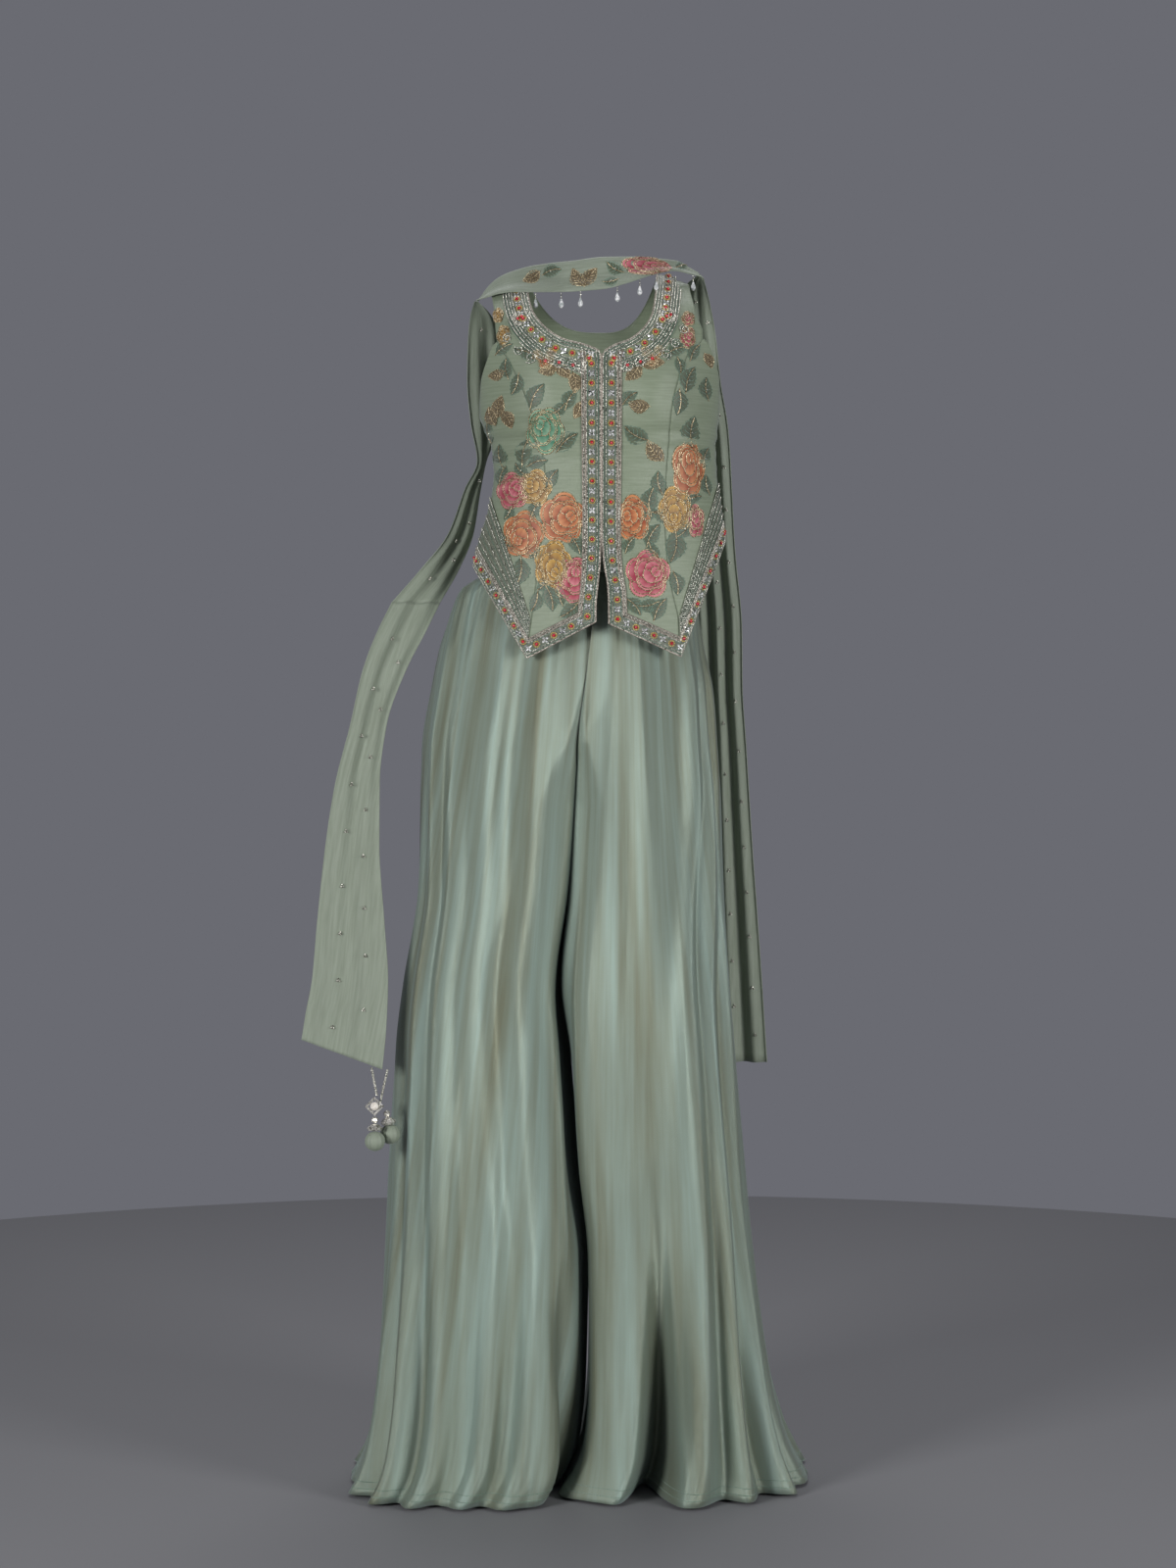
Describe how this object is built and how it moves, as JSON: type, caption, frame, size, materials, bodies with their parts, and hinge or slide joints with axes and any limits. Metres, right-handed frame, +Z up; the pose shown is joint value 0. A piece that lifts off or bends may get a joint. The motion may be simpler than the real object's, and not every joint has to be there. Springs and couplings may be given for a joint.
{
  "type": "palazzo suit (sleeveless vest, palazzo trousers and stole)",
  "caption": "Sage silk palazzo suit in worn form: embroidered princess-seamed vest with pointed fronts, wide shimmering palazzo trousers and a narrow georgette stole with tassels.",
  "frame": {"origin": "middle of the shoulder line that carries the suit, 1456 mm above the trouser hem", "axes": "+Z up, the front faces -Y, +X is the wearer's left"},
  "size_m": [0.6133, 0.3518, 1.4911],
  "materials": {
    "silk": "satin",
    "zardozi": "metal thread and beads",
    "organza": "shot shimmer",
    "georgette": "matte sheer",
    "crystal": "cut",
    "pearl": "lustre",
    "silver": "antique polish"
  },
  "bodies": {
    "root": {"vest_centre_front_right": "silk", "vest_centre_front_left": "silk", "vest_side_front_right": "silk", "vest_side_front_left": "silk", "vest_back": "silk", "vest_front_border_right": "zardozi", "vest_front_border_left": "zardozi", "vest_neck_border_right": "zardozi", "vest_neck_border_left": "zardozi", "vest_side_border_right": "zardozi", "vest_side_border_left": "zardozi", "palazzo_front_right": "organza", "palazzo_front_left": "organza", "palazzo_back_right": "organza", "palazzo_back_left": "organza", "palazzo_waistband": "organza", "stole_neck": "georgette", "stole_fall_right": "georgette", "stole_tail_right": "georgette", "stole_tail_left": "georgette", "stole_drop_1": "crystal", "stole_drop_2": "crystal", "stole_drop_3": "crystal", "stole_drop_4": "crystal", "stole_drop_5": "crystal", "stole_drop_6": "crystal", "stole_drop_7": "crystal", "tassel_1_string": "silver", "tassel_1_frame": "silver", "tassel_1_pearl": "pearl", "tassel_1_bead": "silver", "tassel_1_cap": "silver", "tassel_1_ball": "georgette", "tassel_2_string": "silver", "tassel_2_bead": "silver", "tassel_2_cap": "silver", "tassel_2_ball": "georgette"}
  },
  "joints": []
}
